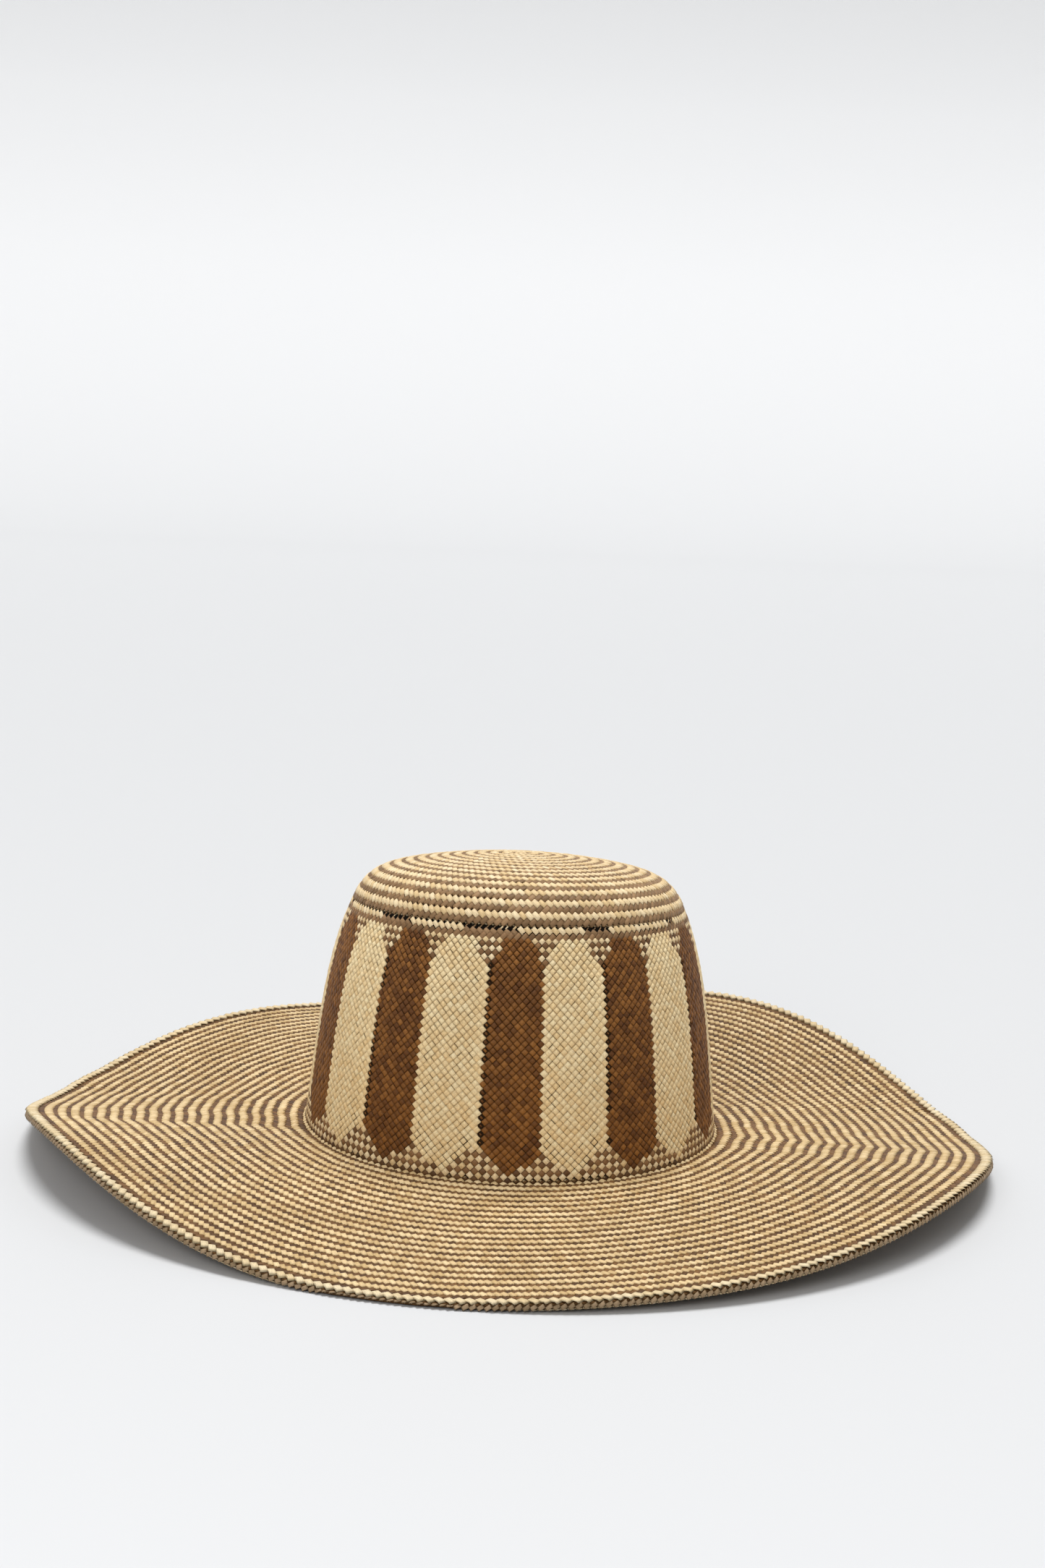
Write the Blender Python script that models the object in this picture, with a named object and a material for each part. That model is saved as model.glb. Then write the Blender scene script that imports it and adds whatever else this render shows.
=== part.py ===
"""Wide-brimmed sun hat plaited from two colours of palm strip, standing on its brim.

Metres, +Z up. The origin is the middle of the brim's box, on the surface that the hat
stands on. -Y is the front, where a brown panel faces forward. The plait is one strip
thickness over another, so every plaited piece is a thin shell about its own mid surface.
"""

import math

import bpy
from mathutils import Vector

# Plait
PLAIT_THICKNESS = 0.0016
GAP = 0.0003
SEGMENTS = 80

# Crown: radii of the mid surface, for a head of 57 to 58 cm round
FOOT_RADIUS = 0.0943
FOOT_HEIGHT = 0.0115
WALL_LEAN = 0.105
WALL_CURL = 0.0081
WALL_CURL_POWER = 4.4
SHOULDER_HEIGHT = 0.1047
SHOULDER_RINGS = (1.0, 0.985, 0.965, 0.93, 0.88, 0.80, 0.65)
DOME_HEIGHT = 0.0223
DOME_SAG = 0.47
TIP_RADIUS = 0.030
TIP_RINGS = (TIP_RADIUS, 0.021, 0.012)
TIP_TILT = 0.09

# Panels of the crown wall, brown and beige by turns
PANEL_PAIRS = 10
PANEL_TOP = 0.1025
PANEL_BOTTOM = 0.0042
TOP_APEX = 0.1085
TOP_POINT = 0.0193
BOTTOM_APEX = 0.0025
BOTTOM_POINT = 0.0132
PANEL_COLUMNS = 4
PANEL_ROWS = 6

# Brim: length along the plait, and its waves as (lobes, degrees of slope, crest in degrees)
FILLET = 0.002
BRIM_LENGTH = 0.1237
BRIM_WAVES = ((1, 0.85, 76.0), (2, 1.58, 39.3), (3, 3.41, 80.4), (4, 1.96, 45.8), (5, 2.25, 57.2))
BRIM_ZONES = (("brim_inner", 0.0, 0.041), ("brim_middle", 0.041, 0.083), ("brim_outer", 0.083, BRIM_LENGTH))
REST_HEIGHT = 0.0019

# Turned-under edge
HEM_WIDTH = 0.008
HEM_THICKNESS = 0.0016
EDGE_BEAD = 0.0026

# Sweatband: a grosgrain ribbon inside the foot of the crown, held by one line of thread
RIBBON_WIDTH = 0.025
RIBBON_THICKNESS = 0.0007
RIBBON_BOTTOM = 0.006
THREAD_RADIUS = 0.0003
THREAD_RISE = 0.003

# Colours and roughness of the finishes
BEIGE = (0.68, 0.52, 0.30)
BROWN = (0.115, 0.052, 0.020)
MIXED = (0.42, 0.29, 0.15)
RIBBON = (0.60, 0.50, 0.36)
PALM_ROUGHNESS = 0.6
DYED_ROUGHNESS = 0.5
RIBBON_ROUGHNESS = 0.8
THREAD_ROUGHNESS = 0.7


def clear_scene():
    for obj in list(bpy.data.objects):
        bpy.data.objects.remove(obj)


def material(name, colour, roughness):
    made = bpy.data.materials.new(name)
    made.use_nodes = True
    shader = made.node_tree.nodes["Principled BSDF"]
    shader.inputs["Base Color"].default_value = (*colour, 1.0)
    shader.inputs["Roughness"].default_value = roughness
    shader.inputs["Metallic"].default_value = 0.0
    return made


def wall_radius(height):
    """Mid-surface radius of the crown wall at a height above the crown's foot."""
    return FOOT_RADIUS - WALL_LEAN * height - WALL_CURL * (height / SHOULDER_HEIGHT) ** WALL_CURL_POWER


SHOULDER_RADIUS = wall_radius(SHOULDER_HEIGHT)


def dome_power():
    """The power that makes the dome leave the shoulder in line with the wall below it."""
    wall_inset = WALL_LEAN + WALL_CURL * WALL_CURL_POWER / SHOULDER_HEIGHT
    steepness = SHOULDER_RADIUS / (wall_inset * DOME_HEIGHT)
    return (steepness - 2 * DOME_SAG) / (1 - DOME_SAG)


DOME_POWER = dome_power()


def dome_height(radius):
    """Mid-surface height above the crown's foot, from the shoulder in to the middle of the tip."""
    share = radius / SHOULDER_RADIUS
    fall = DOME_SAG * share**2 + (1 - DOME_SAG) * share**DOME_POWER
    return SHOULDER_HEIGHT + DOME_HEIGHT * (1 - fall)


def brim_slope(azimuth):
    """Angle of the brim above level, in radians. Its low waves stop where they meet the surface."""
    degrees = 0.0
    for lobes, lift, crest in BRIM_WAVES:
        degrees += lift * math.cos(lobes * (azimuth - math.radians(crest)))
    lowest = math.asin((REST_HEIGHT - FOOT_HEIGHT) / BRIM_LENGTH)
    return max(math.radians(degrees), lowest)


def brim_profile(along, azimuth):
    """(radius, height above the crown's foot) at a distance along the plait from the fillet's end."""
    slope = brim_slope(azimuth)
    start = wall_radius(FILLET) + FILLET
    return start + along * math.cos(slope), along * math.sin(slope)


def fillet_profile(turn):
    """(radius, height) on the bend from the wall into the brim, for turn from 0 at the wall to 1."""
    angle = turn * math.pi / 2
    radius = wall_radius(FILLET) + FILLET * (1 - math.cos(angle))
    return radius, FILLET * (1 - math.sin(angle))


def brim_middle_offset():
    """Where the crown's axis stands, so that the brim's box is centred on the origin."""
    xs, ys = [], []
    for step in range(SEGMENTS):
        azimuth = math.tau * step / SEGMENTS
        radius = brim_profile(BRIM_LENGTH + EDGE_BEAD, azimuth)[0]
        xs.append(radius * math.cos(azimuth))
        ys.append(radius * math.sin(azimuth))
    return -(min(xs) + max(xs)) / 2, -(min(ys) + max(ys)) / 2


AXIS_X, AXIS_Y = brim_middle_offset()


def place(radius, height, azimuth):
    """The point of a radius, a height above the crown's foot and an azimuth, with the tip's tilt."""
    x = radius * math.cos(azimuth)
    y = radius * math.sin(azimuth)
    lean = TIP_TILT * max(0.0, height / SHOULDER_HEIGHT) ** 2
    return Vector((x + AXIS_X, y + AXIS_Y, FOOT_HEIGHT + height - lean * y))


def add_object(name, points, faces, finish):
    mesh = bpy.data.meshes.new(name)
    mesh.from_pydata(points, [], faces)
    mesh.materials.append(finish)
    mesh.update()
    mesh.shade_smooth()
    obj = bpy.data.objects.new(name, mesh)
    bpy.context.scene.collection.objects.link(obj)
    return obj


def thicken(obj, thickness):
    modifier = obj.modifiers.new("thickness", "SOLIDIFY")
    modifier.thickness = thickness
    modifier.offset = 0.0
    modifier.use_even_offset = True


def grid_faces(columns, rows, closed):
    """Quads of a grid whose points run row by row, wound so that they face away from the axis."""
    across = columns if closed else columns + 1
    faces = []
    for row in range(rows):
        for column in range(columns):
            after = (column + 1) % across
            low = row * across
            faces.append((low + column, low + after, low + across + after, low + across + column))
    return faces


def shell_ring(name, profile_rows, finish, thickness=PLAIT_THICKNESS):
    """A closed ring through rows of profile functions, each giving (radius, height) at an azimuth."""
    points = []
    for profile in profile_rows:
        for step in range(SEGMENTS):
            azimuth = math.tau * step / SEGMENTS
            points.append(place(*profile(azimuth), azimuth))
    faces = grid_faces(SEGMENTS, len(profile_rows) - 1, True)
    obj = add_object(name, points, faces, finish)
    thicken(obj, thickness)
    return obj


def panel_share(azimuth):
    """How far an azimuth is from the middle of its panel, from 0 to 1 at the panel's side."""
    turn = (azimuth + math.pi / 2) * 2 * PANEL_PAIRS / math.tau
    return 2 * abs(turn - round(turn))


def panel_top(azimuth):
    return min(PANEL_TOP, TOP_APEX - TOP_POINT * panel_share(azimuth))


def panel_bottom(azimuth):
    return max(PANEL_BOTTOM, BOTTOM_APEX + BOTTOM_POINT * panel_share(azimuth))


def on_wall(height):
    return wall_radius(height), height


def crown_tip(finish):
    """The middle of the tip: a flat disc where the plait starts, and the first rounds about it."""
    points = []
    for radius in TIP_RINGS:
        for step in range(SEGMENTS // 2):
            azimuth = math.tau * step / (SEGMENTS // 2)
            points.append(place(radius, dome_height(radius), azimuth))
    faces = grid_faces(SEGMENTS // 2, len(TIP_RINGS) - 1, True)
    first = (len(TIP_RINGS) - 1) * (SEGMENTS // 2)
    faces.append(tuple(range(first, first + SEGMENTS // 2)))
    obj = add_object("crown_tip", points, faces, finish)
    thicken(obj, PLAIT_THICKNESS)


def crown_shoulder(finish):
    radii = [SHOULDER_RADIUS * share for share in SHOULDER_RINGS]
    radii.append(TIP_RADIUS + GAP)
    rows = [lambda azimuth, radius=radius: (radius, dome_height(radius)) for radius in radii]
    shell_ring("crown_shoulder", rows, finish)


def upper_check_band(finish):
    top = SHOULDER_HEIGHT - GAP
    rows = (
        lambda azimuth: on_wall(panel_top(azimuth) + GAP),
        lambda azimuth: on_wall((panel_top(azimuth) + GAP + top) / 2),
        lambda azimuth: on_wall(top),
    )
    shell_ring("upper_check_band", rows, finish)


def lower_check_band(finish):
    low = FILLET + GAP
    rows = (
        lambda azimuth: on_wall(low),
        lambda azimuth: on_wall((panel_bottom(azimuth) - GAP + low) / 2),
        lambda azimuth: on_wall(panel_bottom(azimuth) - GAP),
    )
    shell_ring("lower_check_band", rows, finish)


def panel(name, middle, finish):
    """One upright strip of the wall, cut to a blunt point at its top and bottom."""
    half = math.pi / (2 * PANEL_PAIRS)
    points = []
    for row in range(PANEL_ROWS + 1):
        for column in range(PANEL_COLUMNS + 1):
            side = 2 * column / PANEL_COLUMNS - 1
            azimuth = middle + half * side
            low, high = panel_bottom(azimuth), panel_top(azimuth)
            radius, height = on_wall(low + (high - low) * row / PANEL_ROWS)
            azimuth -= side * GAP / 2 / radius
            points.append(place(radius, height, azimuth))
    obj = add_object(name, points, grid_faces(PANEL_COLUMNS, PANEL_ROWS, False), finish)
    thicken(obj, PLAIT_THICKNESS)


def crown_panels(brown, beige):
    for pair in range(PANEL_PAIRS):
        middle = math.tau * pair / PANEL_PAIRS - math.pi / 2
        panel(f"brown_panel_{pair + 1:02d}", middle, brown)
        panel(f"beige_panel_{pair + 1:02d}", middle + math.pi / PANEL_PAIRS, beige)


def brim(finish):
    """Three zones of plait; extra strips are laid in where each one starts."""
    for name, start, end in BRIM_ZONES:
        start = start + GAP if start else 0.0
        alongs = (end, (start + end) / 2, start)
        rows = [lambda azimuth, along=along: brim_profile(along, azimuth) for along in alongs]
        if not start:
            rows += [lambda azimuth, turn=turn: fillet_profile(turn) for turn in (2 / 3, 1 / 3, 0)]
        shell_ring(name, rows, finish)


def brim_edge(finish):
    """The plait turned under: a bead round the brim's end and a hem below it, pressed flat where it rests."""
    top = PLAIT_THICKNESS / 2
    under = -top - GAP
    bottom = under - HEM_THICKNESS
    end = BRIM_LENGTH
    section = (
        (end - HEM_WIDTH, under),
        (end - HEM_WIDTH, bottom),
        (end + EDGE_BEAD * 0.6, bottom),
        (end + EDGE_BEAD, bottom / 2),
        (end + EDGE_BEAD, top * 0.5),
        (end + EDGE_BEAD * 0.6, top),
        (end + GAP, top),
        (end + GAP, under),
    )
    points, faces = [], []
    count = len(section)
    for step in range(SEGMENTS):
        azimuth = math.tau * step / SEGMENTS
        slope = brim_slope(azimuth)
        for along, lift in section:
            radius, height = brim_profile(along, azimuth)
            radius -= lift * math.sin(slope)
            height += lift * math.cos(slope)
            point = place(radius, height, azimuth)
            point.z = max(point.z, 0.0)
            points.append(point)
        here, there = step * count, (step + 1) % SEGMENTS * count
        for corner in range(count):
            after = (corner + 1) % count
            faces.append((here + corner, there + corner, there + after, here + after))
    add_object("brim_edge", points, faces, finish)


def ribbon_radius(height, inset):
    return wall_radius(height) - PLAIT_THICKNESS / 2 - GAP - inset


def sweatband(finish):
    """A ribbon lying against the inside of the wall."""
    middle = RIBBON_THICKNESS / 2
    heights = (RIBBON_BOTTOM, RIBBON_BOTTOM + RIBBON_WIDTH)
    rows = [lambda azimuth, height=height: (ribbon_radius(height, middle), height) for height in heights]
    shell_ring("sweatband", rows, finish, RIBBON_THICKNESS)


def sweatband_thread(finish):
    """The line of thread above the ribbon's lower edge."""
    height = RIBBON_BOTTOM + THREAD_RISE
    radius = ribbon_radius(height, RIBBON_THICKNESS + GAP + THREAD_RADIUS)
    curve = bpy.data.curves.new("sweatband_thread", "CURVE")
    curve.dimensions = "3D"
    curve.bevel_depth = THREAD_RADIUS
    curve.bevel_resolution = 1
    curve.materials.append(finish)
    spline = curve.splines.new("POLY")
    spline.points.add(SEGMENTS - 1)
    for step, point in enumerate(spline.points):
        point.co = (*place(radius, height, math.tau * step / SEGMENTS), 1.0)
    spline.use_cyclic_u = True
    obj = bpy.data.objects.new("sweatband_thread", curve)
    bpy.context.scene.collection.objects.link(obj)


def main():
    clear_scene()
    mixed = material("mixed_palm", MIXED, PALM_ROUGHNESS)
    crown_tip(mixed)
    crown_shoulder(mixed)
    upper_check_band(material("upper_check_palm", MIXED, PALM_ROUGHNESS))
    brown = material("brown_palm", BROWN, DYED_ROUGHNESS)
    beige = material("beige_palm", BEIGE, PALM_ROUGHNESS)
    crown_panels(brown, beige)
    lower_check_band(material("lower_check_palm", MIXED, PALM_ROUGHNESS))
    brim(material("brim_palm", MIXED, PALM_ROUGHNESS))
    brim_edge(material("edge_palm", BEIGE, PALM_ROUGHNESS))
    sweatband(material("grosgrain", RIBBON, RIBBON_ROUGHNESS))
    sweatband_thread(material("thread", RIBBON, THREAD_ROUGHNESS))


main()
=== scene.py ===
import math

import bmesh
import bpy
import numpy as np
from mathutils import Matrix, Vector


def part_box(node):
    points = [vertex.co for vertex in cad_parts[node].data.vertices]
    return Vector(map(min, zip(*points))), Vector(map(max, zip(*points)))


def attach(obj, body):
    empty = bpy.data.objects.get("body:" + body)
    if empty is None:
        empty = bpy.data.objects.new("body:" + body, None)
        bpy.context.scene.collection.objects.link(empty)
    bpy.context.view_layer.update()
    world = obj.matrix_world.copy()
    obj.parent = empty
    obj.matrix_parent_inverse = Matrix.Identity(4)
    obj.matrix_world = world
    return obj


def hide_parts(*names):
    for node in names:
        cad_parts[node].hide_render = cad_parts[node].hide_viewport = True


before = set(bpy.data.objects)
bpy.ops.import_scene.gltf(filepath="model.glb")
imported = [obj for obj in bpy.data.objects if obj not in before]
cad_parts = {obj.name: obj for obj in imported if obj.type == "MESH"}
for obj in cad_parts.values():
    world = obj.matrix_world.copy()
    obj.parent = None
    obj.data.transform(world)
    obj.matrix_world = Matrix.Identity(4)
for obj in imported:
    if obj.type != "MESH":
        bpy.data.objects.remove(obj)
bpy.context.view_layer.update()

# ------------------------------------------------------------------ crown tip
# The plaiting starts here, at the middle of the crown's top, where narrow strips
# of palm leaf are crossed in a small disc. Every strip goes over two and under
# two, so a ring of pale floats leans one way and a ring of brown ones the other.
THICKNESS = 0.0016
FOOT_HEIGHT = 0.0115
FOOT_RADIUS = 0.0943
RING_HEIGHT = 0.1047
DOME_RISE = 0.0223
DOME_SAG = 0.47
WALL_LEAN = 0.105
WALL_CURL = 0.0081
WALL_CURL_POWER = 4.4
TIP_TILT = 0.09
BAND_LOW, BAND_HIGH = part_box("sweatband")
AXIS = np.array([(BAND_LOW.x + BAND_HIGH.x) / 2, (BAND_LOW.y + BAND_HIGH.y) / 2])
TIP_RADIUS = 0.030
COLUMNS = 160
DOME_COLUMN = 0.0030
FIRST_COLUMN = math.radians(-81)
RING_PAIRS = 15
PALE_FLOAT = 0.00105
BROWN_FLOAT = 0.0008
CORE_INSET = 0.00045


def wall_radius(height):
    """The plait's middle at a height over the crown's foot."""
    curl = (np.maximum(height, 0.0) / RING_HEIGHT) ** WALL_CURL_POWER
    return FOOT_RADIUS - WALL_LEAN * height - WALL_CURL * curl


RING_RADIUS = float(wall_radius(RING_HEIGHT))
RING_INSET = WALL_LEAN + WALL_CURL * WALL_CURL_POWER / RING_HEIGHT
DOME_POWER = (RING_RADIUS / (RING_INSET * DOME_RISE) - 2 * DOME_SAG) / (1 - DOME_SAG)


def dome_height(radius):
    """The dome leaves the ring in line with the wall, then flattens."""
    part = radius / RING_RADIUS
    fall = DOME_SAG * part**2 + (1 - DOME_SAG) * part**DOME_POWER
    return RING_HEIGHT + DOME_RISE * (1 - fall)


def stand(radius, height, azimuth):
    """Points of the hat, the crown leaning a little to the front."""
    radius, height, azimuth = np.broadcast_arrays(radius, height, azimuth)
    x, y = radius * np.cos(azimuth), radius * np.sin(azimuth)
    lean = TIP_TILT * np.maximum(0.0, height / RING_HEIGHT) ** 2
    z = FOOT_HEIGHT + height - lean * y
    return np.stack([x + AXIS[0], y + AXIS[1], z], axis=-1)


share = np.linspace(0.0, 1.0, 500)
DOME_RADII = RING_RADIUS * (1.0 - share**1.5)
DOME_HEIGHTS = dome_height(DOME_RADII)
DOME_ARCS = np.append(0, np.cumsum(np.hypot(np.diff(DOME_RADII), np.diff(DOME_HEIGHTS))))
RING_PAIR = DOME_ARCS[-1] / RING_PAIRS


def dome(along, azimuth):
    """The crown's top, by the distance up and in from the ring."""
    radius = np.interp(along, DOME_ARCS, DOME_RADII)
    return stand(radius, np.interp(along, DOME_ARCS, DOME_HEIGHTS), azimuth)


def unit(vectors):
    return vectors / np.linalg.norm(vectors, axis=-1, keepdims=True)


def lie(surface, along, azimuth, uphill):
    """Each place, with its directions round the hat, up it and out of it."""
    nearby_angle, nearby_distance = 0.003, 0.0004
    here = surface(along, azimuth)
    about = unit(surface(along, azimuth + nearby_angle) - here)
    rise = unit(surface(along + uphill * nearby_distance, azimuth) - here)
    out = unit(np.cross(about, rise))
    return here, about, np.cross(out, about), out


def turn_of(forward, side, out):
    """XYZ angles of the turn that takes X, Y and Z to those directions."""
    y = np.arctan2(-forward[:, 2], np.hypot(forward[:, 0], forward[:, 1]))
    x = np.arctan2(side[:, 2], out[:, 2])
    z = np.arctan2(forward[:, 1], forward[:, 0])
    return np.stack([x, y, z], axis=-1)


draw = np.random.default_rng(20)
STRIPS = 4096
STRIP_TONES = draw.random((2, STRIPS))
STRIP_DRIFT = 0.045
TONE_CONTRAST = 1.6


def stitches(
    surface, along, azimuth, lean, step, dye, *,
    under=False, uphill=1, crossings=2, reach=1.1, fill=0.98, thick=BROWN_FLOAT, squeeze=1.0,
):
    """Stitches of one row: where they are, how they lie, their sizes and colours.
    step is half a column's width and the rise from crossing to crossing. reach
    and fill stretch a stitch along and across, and squeeze makes it smaller."""
    azimuth = np.atleast_1d(np.asarray(azimuth, float))
    along = np.broadcast_to(along, azimuth.shape)
    here, about, rise, out = lie(surface, along, azimuth, uphill)
    run, climb = (np.broadcast_to(s, azimuth.shape)[:, None] for s in step)
    length = np.hypot(run, climb)
    forward = (lean * run * about + climb * rise) / length
    if under:
        out = -out
    side = np.cross(out, forward)
    half = crossings * length[:, 0] / 2 * reach
    wide = (run * climb / length)[:, 0] * fill
    thick = np.broadcast_to(thick, azimuth.shape)
    strip = np.floor(azimuth / run[:, 0] * STRIP_DRIFT - lean * along / climb[:, 0] / 2)
    tones = STRIP_TONES[int(lean > 0), strip.astype(int) % STRIPS]
    tones = 0.5 * tones + 0.5 * draw.random(azimuth.shape)
    tones = np.clip(0.5 + (tones - 0.5) * TONE_CONTRAST, 0, 1)
    squeeze = np.broadcast_to(squeeze, azimuth.shape)
    half, wide = half * np.sqrt(squeeze), wide * squeeze
    return {
        "place": here,
        "turn": turn_of(forward, side, out),
        "size": np.stack([half, wide, thick], axis=-1),
        "dye": np.broadcast_to(np.asarray(dye, float), azimuth.shape),
        "tone": tones,
    }


def columns(count, phase):
    """Azimuths of a whole row's stitches."""
    return FIRST_COLUMN + (np.arange(count) + phase) * 2 * math.pi / count


class Wire:
    """A socket in a node tree. Arithmetic on it adds Math nodes."""

    def __init__(self, tree, socket=None):
        self.tree = tree
        self.socket = socket

    def node(self, kind, settings=None, sockets=None, output=0):
        made = self.tree.nodes.new(kind)
        for name, value in (settings or {}).items():
            setattr(made, name, value)
        for name, value in (sockets or {}).items():
            if isinstance(value, Wire):
                self.tree.links.new(value.socket, made.inputs[name])
            else:
                made.inputs[name].default_value = value
        return Wire(self.tree, made.outputs[output])

    def maths(self, operation, first, second):
        settings = {"operation": operation}
        return self.node("ShaderNodeMath", settings, {0: first, 1: second})

    def __add__(self, other):
        return self.maths("ADD", self, other)

    def __sub__(self, other):
        return self.maths("SUBTRACT", self, other)

    def __rsub__(self, other):
        return self.maths("SUBTRACT", other, self)

    def __mul__(self, other):
        return self.maths("MULTIPLY", self, other)

    __radd__ = __add__
    __rmul__ = __mul__


def blend_colours(wires, factor, first, second, kind="MIX"):
    settings = {"data_type": "RGBA", "blend_type": kind}
    sockets = {0: factor, 6: first, 7: second}
    return wires.node("ShaderNodeMix", settings, sockets, output=2)


def new_material(name):
    material = bpy.data.materials.new(name)
    material.use_nodes = True
    shader = material.node_tree.nodes["Principled BSDF"]
    return material, Wire(material.node_tree), shader


def palm(name, pale, pale_deep, brown, brown_deep, shade_depth=0.35):
    """Split palm leaf: dye 0 is the bleached strip and dye 1 the brown one. The last
    argument is how much painted shade darkens a strip towards its ends and sides,
    where it goes under the next."""
    material, wires, shader = new_material(name)
    attribute = "ShaderNodeAttribute"
    dye = wires.node(attribute, {"attribute_name": "dye"}, output="Fac")
    tone = wires.node(attribute, {"attribute_name": "tone"}, output="Fac")
    weave = wires.node("ShaderNodeUVMap", {"uv_map": "weave"})
    along = wires.node("ShaderNodeSeparateXYZ", None, {0: weave})
    across = Wire(wires.tree, along.socket.node.outputs["Y"])
    own_grain = {0: along * 1.6 + tone * 41.0, 1: across * 7.0, 2: tone * 17.0}
    grain_place = wires.node("ShaderNodeCombineXYZ", None, own_grain)
    grain = wires.node(
        "ShaderNodeTexNoise",
        None,
        {"Vector": grain_place, "Scale": 1.3, "Detail": 3.0, "Roughness": 0.6},
    )
    place = wires.node("ShaderNodeTexCoord", output="Object")
    patch = wires.node(
        "ShaderNodeTexNoise", None, {"Vector": place, "Scale": 26.0, "Detail": 2.0}
    )
    paler = blend_colours(wires, tone, (*pale_deep, 1), (*pale, 1))
    browner = blend_colours(wires, tone, (*brown_deep, 1), (*brown, 1))
    colour = blend_colours(wires, dye, paler, browner)
    # Painted shade: the colour darkens towards a float's ends and sides, where it goes under
    # its neighbours.
    from_middle = along - 0.5
    from_axis = across - 0.5
    shade_at_ends = from_middle * from_middle * from_middle * from_middle * (16 * shade_depth)
    shade_at_sides = from_axis * from_axis * from_axis * from_axis * (16 * shade_depth * 0.7)
    tuck_shading = (1.0 - shade_at_ends) * (1.0 - shade_at_sides)
    # Painted shade at the ends and sides, times real fibre grain and broad patches of
    # colour.
    shading_and_grain = tuck_shading * (0.45 + grain * 1.10) * (0.90 + patch * 0.20)
    colour = wires.node(
        "ShaderNodeVectorMath", {"operation": "SCALE"}, {0: colour, "Scale": shading_and_grain}
    )
    bump = wires.node(
        "ShaderNodeBump", None, {"Strength": 0.5, "Distance": 0.0003, "Height": grain}
    )
    rough = 0.42 + grain * 0.3
    wires.tree.links.new(colour.socket, shader.inputs["Base Color"])
    wires.tree.links.new(rough.socket, shader.inputs["Roughness"])
    wires.tree.links.new(bump.socket, shader.inputs["Normal"])
    shader.inputs["Specular IOR Level"].default_value = 0.28
    return material


crown_palm = palm(
    "crown_palm",
    (0.93, 0.74, 0.46),
    (0.78, 0.56, 0.285),
    (0.31, 0.162, 0.066),
    (0.14, 0.066, 0.023),
)


def shaded(name, dark, light):
    """The middle of the plait, seen only between the strips: a dark sheet whose colour is
    painted shade, with a fine speckle.
    """
    material, wires, shader = new_material(name)
    place = wires.node("ShaderNodeTexCoord", output="Object")
    spots = {"Vector": place, "Scale": 300.0, "Detail": 2.0}
    shade_speckle = wires.node("ShaderNodeTexNoise", None, spots)
    shadow = blend_colours(wires, shade_speckle, (*dark, 1), (*light, 1))
    wires.tree.links.new(shadow.socket, shader.inputs["Base Color"])
    shader.inputs["Roughness"].default_value = 0.9
    shader.inputs["Specular IOR Level"].default_value = 0.1
    return material


# Painted shade for the cores: near-black in the crown, dark brown in the brim and black
# behind the slits.
shade = shaded("shaded_inside", (0.012, 0.006, 0.003), (0.05, 0.026, 0.010))
brim_shade = shaded("shaded_brim", (0.045, 0.022, 0.008), (0.14, 0.070, 0.024))
slit_shade = shaded("shaded_slits", (0.003, 0.002, 0.001), (0.008, 0.005, 0.003))


def map_weave(mesh):
    """A UV map, weave, that runs along and across a strip of two by two."""
    layer = mesh.uv_layers.new(name="weave")
    for loop in mesh.loops:
        x, y, _ = mesh.vertices[loop.vertex_index].co
        layer.data[loop.index].uv = ((x + 1) / 2, (y + 1) / 2)


def float_mesh(name, stations):
    """One visible length of strip, pressed down at its ends and edges and closed
    underneath. A station is a place along it with its middle's and sides' heights."""
    mesh = bpy.data.meshes.new(name)
    points, rows = [], []
    for x, crest, rim in stations:
        ys = (-1, 1) if abs(x) == 1 else (-1, -0.78, 0.78, 1)
        rows.append([len(points) + i for i in range(len(ys))])
        for y in ys:
            points.append((x, y, crest if abs(y) < 1 else rim))
    faces = []
    for here, there in zip(rows, rows[1:]):
        if len(here) == len(there):
            for i in range(3):
                faces.append((here[i], there[i], there[i + 1], here[i + 1]))
        elif len(here) == 2:
            faces.append((here[0], there[0], there[1]))
            faces.append((here[0], there[1], there[2], here[1]))
            faces.append((here[1], there[2], there[3]))
        else:
            faces.append((here[0], there[0], here[1]))
            faces.append((here[1], there[0], there[1], here[2]))
            faces.append((here[2], there[1], here[3]))
    left = [row[0] for row in rows]
    right = [row[-1] for row in rows]
    faces.append(tuple(right + left[::-1]))
    mesh.from_pydata(points, [], faces)
    mesh.shade_smooth()
    map_weave(mesh)
    return bpy.data.objects.new(name, mesh)


long_float = float_mesh(
    "long_float",
    ((-1, -0.1, -0.15), (-0.6, 0.92, 0.45), (0.6, 1.0, 0.45), (1, -0.1, -0.15)),
)
short_float = float_mesh(
    "short_float",
    ((-1, -0.25, -0.25), (-0.52, 0.86, 0.42), (0.52, 0.92, 0.42), (1, -0.25, -0.25)),
)


def plain_float():
    """The same on the plait's inner face, as a low ridge."""
    mesh = bpy.data.meshes.new("inner_float")
    points = [(-1, -1, 0), (1, -1, 0), (1, 1, 0), (-1, 1, 0), (-0.5, 0, 0.9), (0.5, 0, 0.9)]
    faces = [(3, 2, 1, 0), (0, 1, 5, 4), (2, 3, 4, 5), (1, 2, 5), (3, 0, 4)]
    mesh.from_pydata(points, [], faces)
    mesh.shade_smooth()
    map_weave(mesh)
    return bpy.data.objects.new("inner_float", mesh)


inner_float = plain_float()


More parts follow.
